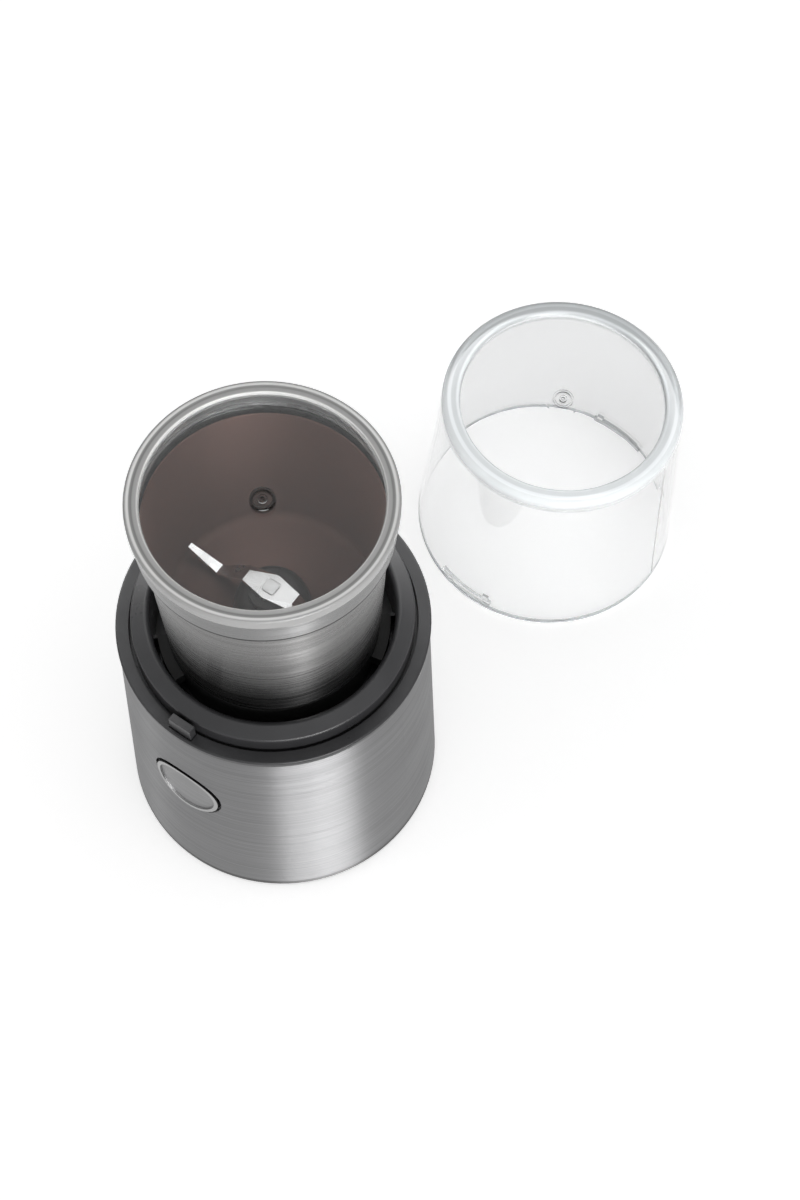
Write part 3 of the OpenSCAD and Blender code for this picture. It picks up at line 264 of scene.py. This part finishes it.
def blendColors(kit, value, first, second):
    mix = kit["tree"].nodes.new("ShaderNodeMix")
    mix.data_type = "RGBA"
    kit["tree"].links.new(value, mix.inputs["Factor"])
    for socket, color in (("A", first), ("B", second)):
        target = [s for s in mix.inputs if s.name == socket and s.type == "RGBA"][0]
        if isinstance(color, tuple):
            target.default_value = (*color, 1)
        else:
            kit["tree"].links.new(color, target)
    return [s for s in mix.outputs if s.type == "RGBA"][0]


def setInput(kit, name, value):
    kit["tree"].links.new(value, kit["shader"].inputs[name])


def addBump(kit, height, depth, strength):
    bump = kit["tree"].nodes.new("ShaderNodeBump")
    bump.inputs["Distance"].default_value = depth
    if isinstance(strength, float):
        bump.inputs["Strength"].default_value = strength
    else:
        kit["tree"].links.new(strength, bump.inputs["Strength"])
    kit["tree"].links.new(height, bump.inputs["Height"])
    if kit["normal"] is not None:
        kit["tree"].links.new(kit["normal"], bump.inputs["Normal"])
    kit["normal"] = bump.outputs["Normal"]
    setInput(kit, "Normal", kit["normal"])


def heightOf(kit):
    apart = kit["tree"].nodes.new("ShaderNodeSeparateXYZ")
    kit["tree"].links.new(kit["place"], apart.inputs[0])
    return apart.outputs["Z"]


# how far a point lies from the line through centre; across is 0 along that line
def distanceFrom(kit, centre, across=(1, 1, 0)):
    flat = kit["tree"].nodes.new("ShaderNodeVectorMath")
    flat.operation = "LENGTH"
    shift = tuple(-c * a for c, a in zip(centre, across))
    kit["tree"].links.new(scaled(kit, across, shift), flat.inputs[0])
    return flat.outputs["Value"]


# 0 below the start and 1 above its end, over a soft edge
def above(kit, value, start, soft):
    return ranged(kit, value, 0, 1, start, start + soft)


# 1 at the given height, 0 a little above and below it
def lineAt(kit, height, half):
    rising = ranged(kit, heightOf(kit), 0, 1, height - half, height - half / 2)
    falling = ranged(kit, heightOf(kit), 1, 0, height + half / 2, height + half)
    return worked(kit["tree"], "MULTIPLY", rising, falling)


brushing = {
    "glintTurn": 0.25,  # glints run across the marks
    # scale round the axis, and how much coarser the marks are than the lines along it
    "fine": (14, 1),
    "broad": (9, 9),
    "strokes": (7, 3),
    "strokeRoughness": 0.65,
    "smearScale": 38,
    "smear": 0.03,
    "uneven": 0.06,
    "broadShare": 0.35,
    "depth": 0.00002,
    "strength": 0.35,
    "insideStrength": 0.01,
}


def brushMarks(kit, lines, kind, detail, rough=0.55):
    around, coarser = brushing[kind]
    return noise(kit, (around, around, lines / coarser), detail, rough)


# 0 inside a wall that widens with height, 1 outside it
def outsideWall(kit, inside):
    widening = worked(kit["tree"], "MULTIPLY_ADD", heightOf(kit),
                      -inside["grows"], inside["grows"] * inside["fromHeight"])
    reach = worked(kit["tree"], "ADD", distanceFrom(kit, (0, 0, 0)), widening)
    return above(kit, reach, inside["radius"] - inside["soft"], 2 * inside["soft"])


# sheet steel brushed round the Z axis
def spunSteel(name, steel):
    color, roughness, lines = steel["color"], steel["roughness"], steel["lines"]
    kit = startMaterial(name, color, roughness, metallic=1.0, edge=edges["steel"])
    kit["shader"].inputs["Anisotropic"].default_value = steel["anisotropy"]
    kit["shader"].inputs["Anisotropic Rotation"].default_value = brushing["glintTurn"]
    tangent = kit["tree"].nodes.new("ShaderNodeTangent")
    tangent.direction_type = "RADIAL"
    tangent.axis = "Z"
    setInput(kit, "Tangent", tangent.outputs["Tangent"])
    fine = brushMarks(kit, lines, "fine", 4)
    broad = brushMarks(kit, lines, "broad", 3)
    strokes = brushMarks(kit, lines, "strokes", 4, brushing["strokeRoughness"])
    smear = noise(kit, brushing["smearScale"], 4)

    dark = tuple(c * (1 - steel["streaks"]) for c in color)
    light = tuple(min(1, c * (1 + steel["streaks"])) for c in color)
    tint = blendColors(kit, ranged(kit, fine, 0, 1), dark, light)
    tint = blendColors(kit, ranged(kit, broad, 0, brushing["broadShare"]), tint, dark)
    foot, band, inside = (steel.get(part) for part in ("foot", "band", "inside"))
    # painted shade: the steel darkens low down, along the shell's bottom edge and down the cup's
    # side towards the dark well
    if foot:
        risen = ranged(kit, heightOf(kit), 0, 1, foot["low"], foot["high"])
        tint = blendColors(kit, risen, foot["color"], tint)
    if band:
        risen = above(kit, heightOf(kit), band["height"], band["soft"])
        tint = blendColors(kit, risen, tint, band["color"])
        # painted shade: a dark line under the band's edge
        line = lineAt(kit, band["height"], band["line"])
        tint = blendColors(kit, line, tint, band["paintedShadeLineColor"])

    uneven = brushing["uneven"]
    polish = worked(kit["tree"], "ADD", ranged(kit, smear, -brushing["smear"], brushing["smear"]),
                    ranged(kit, strokes, roughness - uneven, roughness + uneven))
    strength = brushing["strength"]
    if inside:
        wall = outsideWall(kit, inside)
        # inside the cup the tint is a painted reflection of the left-out ground spice
        tint = blendColors(kit, wall, inside["color"], tint)
        polish = ranged(kit, wall, inside["roughness"], polish, 0, 1)
        strength = ranged(kit, wall, brushing["insideStrength"], strength, 0, 1)
    setInput(kit, "Base Color", tint)
    setInput(kit, "Roughness", polish)
    addBump(kit, fine, brushing["depth"], strength)
    return kit


shellSteel = {
    "color": (0.235, 0.235, 0.238), "roughness": 0.45, "anisotropy": 1.0,
    "lines": 2600, "streaks": 0.2,
    # painted shade along the shell's bottom edge, where the gap under it lies in shadow
    "foot": {"low": 0.0036, "high": 0.0042, "color": (0.13, 0.13, 0.13)},
}
cupSteel = {
    "color": (0.22, 0.218, 0.216), "roughness": 0.27, "anisotropy": 0.86,
    "lines": 2200, "streaks": 0.22,
    # painted shade: the cup's side darkens towards the well, a painted reflection of the dark
    # collar
    "foot": {"low": 0.125, "high": 0.168, "color": (0.05, 0.05, 0.05)},
    "band": {
        "height": 0.1829, "soft": 0.0004, "line": 0.0007,
        # the line's near-black is painted shade under the band's edge
        "color": (0.22, 0.22, 0.22), "paintedShadeLineColor": (0.03, 0.03, 0.03),
    },
    "inside": {
        "radius": 0.037, "soft": 0.0001, "grows": 0.038, "fromHeight": 0.119,
        # the inside's warm brown is a painted reflection of ground spice, which is left out
        "color": (0.262, 0.166, 0.142), "roughness": 0.6,
    },
}
buttonSteel = {
    "color": (0.22, 0.22, 0.222), "roughness": 0.42, "anisotropy": 0.3,
    "lines": 2600, "streaks": 0.1,
    "centre": (0, 0, 0.0692),
    # the rim's lighter colour is a painted highlight
    "faceRadius": 0.0119, "faceSoft": 0.0003, "rimColor": (0.36, 0.36, 0.36),
    # the side's near-black is painted shade down in the gap
    "sideRadius": 0.01345, "sideSoft": 0.0001, "paintedGapShade": (0.008, 0.008, 0.008),
}


# the button's brushed face; its rim is painted lighter as a painted highlight, and its side down in
# the gap painted near-black as painted shade
def pressedButton(name, button):
    kit = spunSteel(name, button)
    brushed = kit["shader"].inputs["Base Color"].links[0].from_socket
    reach = distanceFrom(kit, button["centre"], (1, 0, 1))
    rim = above(kit, reach, button["faceRadius"], button["faceSoft"])
    side = above(kit, reach, button["sideRadius"], button["sideSoft"])
    # painted highlight: the rim is lighter than the brushed face
    brushedWithRimHighlight = blendColors(kit, rim, brushed, button["rimColor"])
    # painted shade: the side down in the gap is near-black
    setInput(kit, "Base Color", blendColors(kit, side, brushedWithRimHighlight, button["paintedGapShade"]))
    return kit


# how much smoother and rougher patches of metal and plastic are
wear = {"smoother": 0.05, "rougher": 0.08}


def wornRoughness(kit, patches, roughness):
    worn = ranged(kit, patches, roughness - wear["smoother"], roughness + wear["rougher"])
    setInput(kit, "Roughness", worn)


turning = {"patches": 120, "wornShare": 0.8, "depth": 0.00002, "strength": 0.4}
# name: colour, roughness, scale of the marks along X, Y and Z, and how dark they are
metals = {
    "bladeSteel": ((0.97, 0.97, 0.97), 0.23, (180, 2600, 180), 0.92),
    "shaftSteel": ((0.85, 0.85, 0.85), 0.2, (160, 160, 2600), 0.78),
    "bracketSteel": ((0.56, 0.57, 0.6), 0.4, (700, 90, 700), 0.78),
    "springSteel": ((0.55, 0.55, 0.57), 0.3, (900, 900, 900), 0.78),
    "screwSteel": ((0.5, 0.5, 0.53), 0.36, (600, 600, 1900), 0.78),
    "laminations": ((0.28, 0.29, 0.31), 0.5, (60, 60, 9000), 0.78),
    "copperWire": ((0.62, 0.26, 0.11), 0.34, (2400, 2400, 3600), 0.78),
    "bronze": ((0.5, 0.33, 0.17), 0.48, (1800, 1800, 1800), 0.78),
    "holderBrass": ((0.72, 0.52, 0.2), 0.32, (700, 90, 90), 0.78),
}


# turned, ground or rolled metal, with its marks along one direction
def machinedMetal(name, color, roughness, stretch, dark):
    kit = startMaterial(name, color, roughness, metallic=1.0, edge=edges["machined"])
    marks = noise(kit, stretch, 4)
    patches = noise(kit, turning["patches"], 3)
    worn = tuple(c * dark for c in color)
    tint = blendColors(kit, ranged(kit, marks, 0, turning["wornShare"]), color, worn)
    setInput(kit, "Base Color", tint)
    wornRoughness(kit, patches, roughness)
    addBump(kit, marks, turning["depth"], turning["strength"])
    return kit


moulding = {"patches": 55, "palerShare": 0.6, "depth": 0.00003, "strength": 0.3}
# name: colour, roughness, scale of the grain, how pale its worn patches are, and shine
plastics = {
    "collarPlastic": ((0.016, 0.016, 0.017), 0.3, 2600, 1.5, 0.3),
    "plungerPlastic": ((0.02, 0.02, 0.021), 0.4, 2600, 1.5, 0.5),
    "coverPlastic": ((0.02, 0.02, 0.02), 0.45, 2600, 1.5, 0.5),
    "cupBasePlastic": ((0.01, 0.01, 0.01), 0.45, 2600, 1.5, 0.3),
    "hubPlastic": ((0.055, 0.053, 0.052), 0.5, 2600, 1.8, 0.5),
    "couplingPlastic": ((0.03, 0.03, 0.03), 0.5, 2600, 1.5, 0.5),
    "fanPlastic": ((0.07, 0.07, 0.08), 0.5, 2600, 1.5, 0.5),
    "switchPlastic": ((0.05, 0.05, 0.06), 0.4, 2600, 1.5, 0.5),
    "carrierPlastic": ((0.72, 0.72, 0.68), 0.5, 2600, 0.92, 0.5),
    "board": ((0.03, 0.15, 0.07), 0.35, 2600, 1.6, 0.5),
    "carbon": ((0.03, 0.03, 0.03), 0.6, 5000, 1.5, 0.5),
    "rubber": ((0.02, 0.02, 0.02), 0.7, 1800, 1.5, 0.5),
}


# moulded plastic with a fine spark-eroded grain, faint handling marks and slightly worn patches
def mouldedPlastic(name, color, roughness, grain, lift, shine):
    kit = startMaterial(name, color, roughness, edge=edges["moulded"])
    kit["shader"].inputs["Specular IOR Level"].default_value = shine
    grains = noise(kit, grain, 2)
    patches = noise(kit, moulding["patches"], 4)
    light = tuple(min(1, c * lift) for c in color)
    tint = blendColors(kit, ranged(kit, patches, 0, moulding["palerShare"]), color, light)
    setInput(kit, "Base Color", tint)
    wornRoughness(kit, patches, roughness)
    addBump(kit, grains, moulding["depth"], moulding["strength"])
    return kit


ringReach = 0.06  # the radius at the end of the rings' colour ramp


# a tint that changes with the distance from an axis: stops are radius and shade
def ringed(kit, axis, tint, stops):
    ramp = kit["tree"].nodes.new("ShaderNodeValToRGB")
    reach = ranged(kit, distanceFrom(kit, axis), 0, 1, 0, ringReach)
    kit["tree"].links.new(reach, ramp.inputs["Fac"])
    marks = ramp.color_ramp.elements
    while len(marks) < len(stops):
        marks.new(0.5)
    for mark, (radius, shade) in zip(marks, stops):
        mark.position = radius / ringReach
        mark.color = (*(c * shade for c in tint), 1)
    return ramp.outputs["Color"]


# the gate stops are painted shade on the edges of the moulding mark in the middle, the ring stops
# painted highlight and shade lines on the rim round it
cupCap = {
    "color": (0.96, 0.965, 0.965), "bending": 1.4, "axis": (0, 0, 0),
    "paintedGateShade": ((0, 1), (0.0006, 0.5), (0.0009, 0.9), (0.0013, 0.3), (0.0017, 0.8), (0.0029, 0.8),
             (0.0033, 0.25), (0.0041, 0.3), (0.0043, 1)),
    "rimRadius": 0.0384, "rimSoft": 0.0003, "rimHeight": 0.1905, "rimFade": 0.0003,
    "rimColor": (1.0, 1.0, 0.99), "rimRoughness": 0.24, "rimClearness": 0.35,
    "paintedRimRings": ((0, 0.9), (0.0388, 0.9), (0.0391, 0.5), (0.0402, 0.44), (0.0405, 0.24),
              (0.0412, 0.34), (0.0415, 0.9), (0.0421, 0.9), (0.0423, 0.42), (0.0432, 0.36)),
}
outerLid = {
    "color": (0.868, 0.871, 0.873), "bending": 1.42, "axis": (0.0277, 0.14945, 0),
    # painted shade on the edges of the lid's moulding mark
    "paintedGateShade": ((0, 1), (0.0013, 0.9), (0.0016, 0.97), (0.0032, 0.97), (0.0035, 0.85),
             (0.0041, 0.9), (0.0043, 1)),
    "rimRadius": 0.0398, "rimSoft": 0.0003, "rimHeight": 0.081, "rimFade": 0.005,
    "rimColor": (0.93, 0.97, 0.99), "rimRoughness": 0.08, "rimClearness": 0.4,
    # painted highlight and shade lines on the lid's rim
    "paintedRimRings": ((0, 0.9), (0.0402, 0.74), (0.0407, 1), (0.0412, 1), (0.0416, 0.8), (0.0431, 0.78),
              (0.0436, 1), (0.0446, 1), (0.045, 0.78), (0.0485, 0.76), (0.05, 0.95)),
    "mouth": {"height": 0.0009, "soft": 0.0003, "share": 0.8},  # the edge that stands on the floor
}


# clear moulding whose satin rim lets less light through; painted highlight and shade rings lie on
# its rim and its gate mark
def clearPlastic(name, clear):
    kit = startMaterial(name, clear["color"], 0.0)
    kit["shader"].inputs["Transmission Weight"].default_value = 1.0
    kit["shader"].inputs["IOR"].default_value = clear["bending"]
    start = clear["rimRadius"] - clear["rimSoft"]
    beyond = above(kit, distanceFrom(kit, clear["axis"]), start, 2 * clear["rimSoft"])
    risen = above(kit, heightOf(kit), clear["rimHeight"], clear["rimFade"])
    rim = worked(kit["tree"], "MULTIPLY", beyond, risen)
    mouth = clear.get("mouth")
    if mouth:
        top = mouth["height"] + mouth["soft"]
        lip = ranged(kit, heightOf(kit), mouth["share"], 0, mouth["height"], top)
        rim = worked(kit["tree"], "MAXIMUM", rim, lip)
    # the clear tint carries painted shade rings on the gate mark
    clearWithGateShade = ringed(kit, clear["axis"], clear["color"], clear["paintedGateShade"])
    # the rim's satin tint carries painted highlight and shade rings
    satinWithPaintedRings = ringed(kit, clear["axis"], clear["rimColor"], clear["paintedRimRings"])
    setInput(kit, "Base Color", blendColors(kit, rim, clearWithGateShade, satinWithPaintedRings))
    setInput(kit, "Roughness", ranged(kit, rim, 0, clear["rimRoughness"], 0, 1))
    clearness = ranged(kit, rim, 1, clear["rimClearness"], 0, 1)
    setInput(kit, "Transmission Weight", clearness)
    return kit


finishes = {
    "shellSteel": spunSteel("shellSteel", shellSteel),
    "cupSteel": spunSteel("cupSteel", cupSteel),
    "buttonSteel": pressedButton("buttonSteel", buttonSteel),
}
for name, metal in metals.items():
    finishes[name] = machinedMetal(name, *metal)
for name, plastic in plastics.items():
    finishes[name] = mouldedPlastic(name, *plastic)
finishes["lidClear"] = clearPlastic("lidClear", outerLid)
finishes["capClear"] = clearPlastic("capClear", cupCap)
print("finishes made:", len(finishes))

dressed = {
    "shellSteel": ["base_shell"],
    "cupSteel": ["grinding_cup"],
    "buttonSteel": ["push_button"],
    "bladeSteel": ["grinder_blade"],
    "shaftSteel": ["motor_shaft", "blade_shaft"],
    "bracketSteel": ["upper_bracket", "lower_bracket"],
    "springSteel": ["button_spring", "interlock_spring"],
    "screwSteel": ["cover_screws", "carrier_screws", "motor_screws", "cup_screws"],
    "laminations": ["stator_core", "armature_core"],
    "copperWire": ["stator_coils", "armature_windings", "commutator"],
    "bronze": ["upper_bearing", "lower_bearing", "cup_bushing"],
    "holderBrass": ["brush_holders"],
    "collarPlastic": ["collar"],
    "plungerPlastic": ["interlock_plunger", "button_plunger", "button_guide"],
    "coverPlastic": ["bottom_cover"],
    "cupBasePlastic": ["cup_base"],
    "hubPlastic": ["cup_hub", "blade_spacer"],
    "couplingPlastic": ["drive_coupling", "driven_coupling"],
    "fanPlastic": ["cooling_fan"],
    "switchPlastic": ["button_switch", "interlock_switch"],
    "carrierPlastic": ["switch_carrier"],
    "board": ["circuit_board"],
    "carbon": ["carbon_brushes"],
    "rubber": ["rubber_feet", "cord_gland", "motor_dampers", "shaft_seal"],
    "lidClear": ["lid"],
    "capClear": ["cup_cap"],
}

for finish, names in dressed.items():
    for name in names:
        for slot in nodes[name].material_slots:
            slot.material = finishes[finish]["paint"]
left = sorted(set(nodes) - {n for names in dressed.values() for n in names})
print("finishes given; nodes left plain:", left)

# both return springs are copies of the CAD coils
springs = {
    "buttonCoil": {
        "node": "button_spring", "joint": "button_press",
        "axis": (0, 1, 0), "anchor": (0, -0.0423, 0.0692), "keep": 0.746,
    },
    "interlockCoil": {
        "node": "interlock_spring", "joint": "interlock_press",
        "axis": (0, 0, 1), "anchor": (0, -0.0494, 0.0882), "keep": 0.53,
    },
}
wireMesh = {"mergeDistance": 0.000001, "smoothAngle": 35}


def makeSpring(name, spring):
    coil = bpy.data.objects.new(name, nodes[spring["node"]].data.copy())
    bpy.context.scene.collection.objects.link(coil)
    bpy.ops.object.select_all(action="DESELECT")
    coil.select_set(True)
    bpy.context.view_layer.objects.active = coil
    bpy.ops.object.mode_set(mode="EDIT")
    bpy.ops.mesh.select_all(action="SELECT")
    bpy.ops.mesh.remove_doubles(threshold=wireMesh["mergeDistance"])
    bpy.ops.object.mode_set(mode="OBJECT")
    bpy.ops.object.shade_smooth_by_angle(angle=math.radians(wireMesh["smoothAngle"]))
    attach(coil, "base")
    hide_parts(spring["node"])
    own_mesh(coil)


for name, spring in springs.items():
    makeSpring(name, spring)
print("springs coiled:", len(springs))
